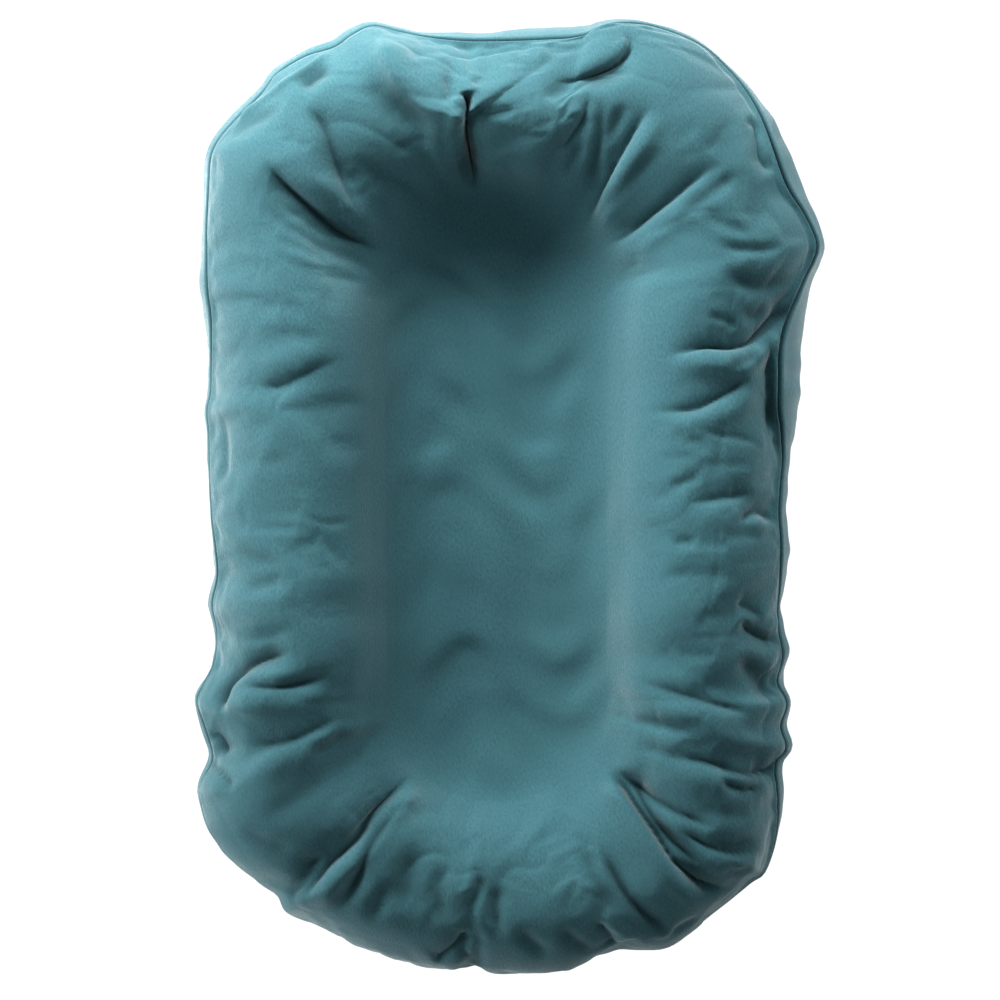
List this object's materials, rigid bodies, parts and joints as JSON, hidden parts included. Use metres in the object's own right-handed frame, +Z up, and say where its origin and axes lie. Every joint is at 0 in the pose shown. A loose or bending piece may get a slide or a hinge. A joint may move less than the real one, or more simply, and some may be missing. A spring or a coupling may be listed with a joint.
{
  "type": "infant lounger",
  "caption": "Oval infant lounger: a soft stuffed ring with a sling across its middle, in a removable knit cover that zips underneath.",
  "frame": {"origin": "on the floor, under the middle of the lounger's outline", "axes": "+Y along the lounger towards its head end, +Z up, +X to the right seen from above with the head end away"},
  "size_m": [0.4875, 0.7389, 0.128],
  "materials": {
    "cover_knit": "brushed cotton knit, teal",
    "casing_cloth": "woven polycotton, natural white",
    "seam_binding": "woven binding tape, natural",
    "fibre_fill": "loose polyester fibre, white",
    "zip_tape": "woven polyester tape, teal",
    "zip_nylon": "nylon coil, teal",
    "zip_metal": "die-cast zinc, plated, satin"
  },
  "bodies": {
    "lounger": {"cover_top": "cover_knit", "cover_base_left": "cover_knit", "cover_base_right": "cover_knit", "cover_edge_welt": "cover_knit", "casing_top": "casing_cloth", "casing_base": "casing_cloth", "casing_edge_seam": "seam_binding", "sling_panel": "casing_cloth", "sling_seam": "seam_binding", "fill_left": "fibre_fill", "fill_right": "fibre_fill", "fill_head": "fibre_fill", "fill_foot": "fibre_fill", "zip_tape_left": "zip_tape", "zip_tape_right": "zip_tape", "zip_coil_left": "zip_nylon", "zip_coil_right": "zip_nylon", "zip_top_stop_left": "zip_metal", "zip_top_stop_right": "zip_metal", "zip_bottom_stop": "zip_metal"},
    "slider": {"zip_slider": "zip_metal"},
    "pull": {"zip_pull": "zip_metal"}
  },
  "joints": [
    {"name": "zip_slide", "type": "slide", "parent": "lounger", "child": "slider", "axis": [0, -1, 0], "range_m": [0, 0.44]},
    {"name": "zip_pull_pivot", "type": "hinge", "parent": "slider", "child": "pull", "pos_m": [-0.01, 0.2202, 0.0055], "axis": [1, 0, 0], "range_deg": [0, 170]}
  ]
}
